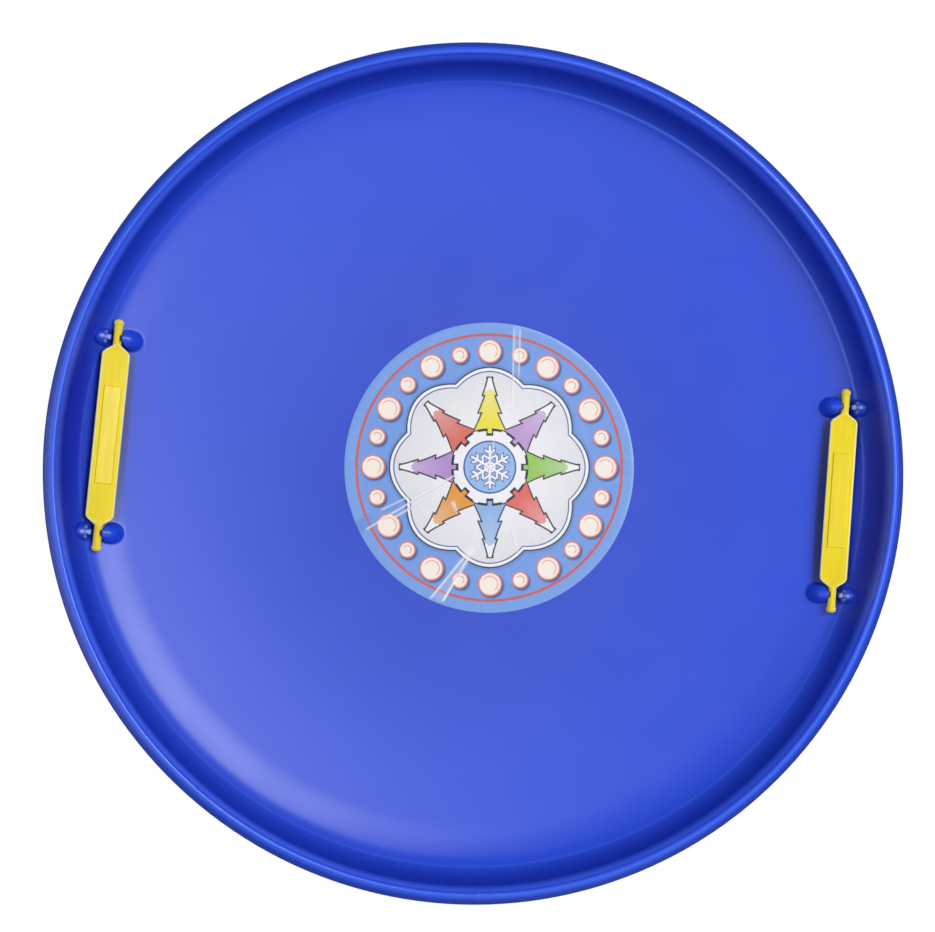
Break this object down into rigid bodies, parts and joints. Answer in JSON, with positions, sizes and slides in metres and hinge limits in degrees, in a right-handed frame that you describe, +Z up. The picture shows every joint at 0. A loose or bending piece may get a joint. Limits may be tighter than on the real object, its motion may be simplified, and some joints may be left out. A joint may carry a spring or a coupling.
{
  "type": "saucer sled",
  "caption": "Round dished snow sled with a turned-down rim flange, split bosses that hold a rocking strap grip on each side, and a round label on its floor.",
  "frame": {"origin": "under the middle of the dish, on the surface that it rests on", "axes": "+Z up along the dish's axis; the two strap grips lie along Y, one on each side along X"},
  "size_m": [0.66, 0.66, 0.0826],
  "materials": {
    "blue_plastic": "satin blue polyethylene, injection moulded",
    "yellow_plastic": "satin yellow flexible polyethylene",
    "label_film": "glossy printed film"
  },
  "bodies": {
    "sled": {"saucer_shell": "blue_plastic", "round_label": "label_film"},
    "left_grip": {"handle_left": "yellow_plastic"},
    "right_grip": {"handle_right": "yellow_plastic"}
  },
  "joints": [
    {"name": "left_grip_rock", "type": "hinge", "parent": "sled", "child": "left_grip", "pos_m": [-0.2898, 0, 0.04828], "axis": [0, -1, 0], "range_deg": [-32, 18]},
    {"name": "right_grip_rock", "type": "hinge", "parent": "sled", "child": "right_grip", "pos_m": [0.2898, 0, 0.04828], "axis": [0, 1, 0], "range_deg": [-32, 18]}
  ]
}
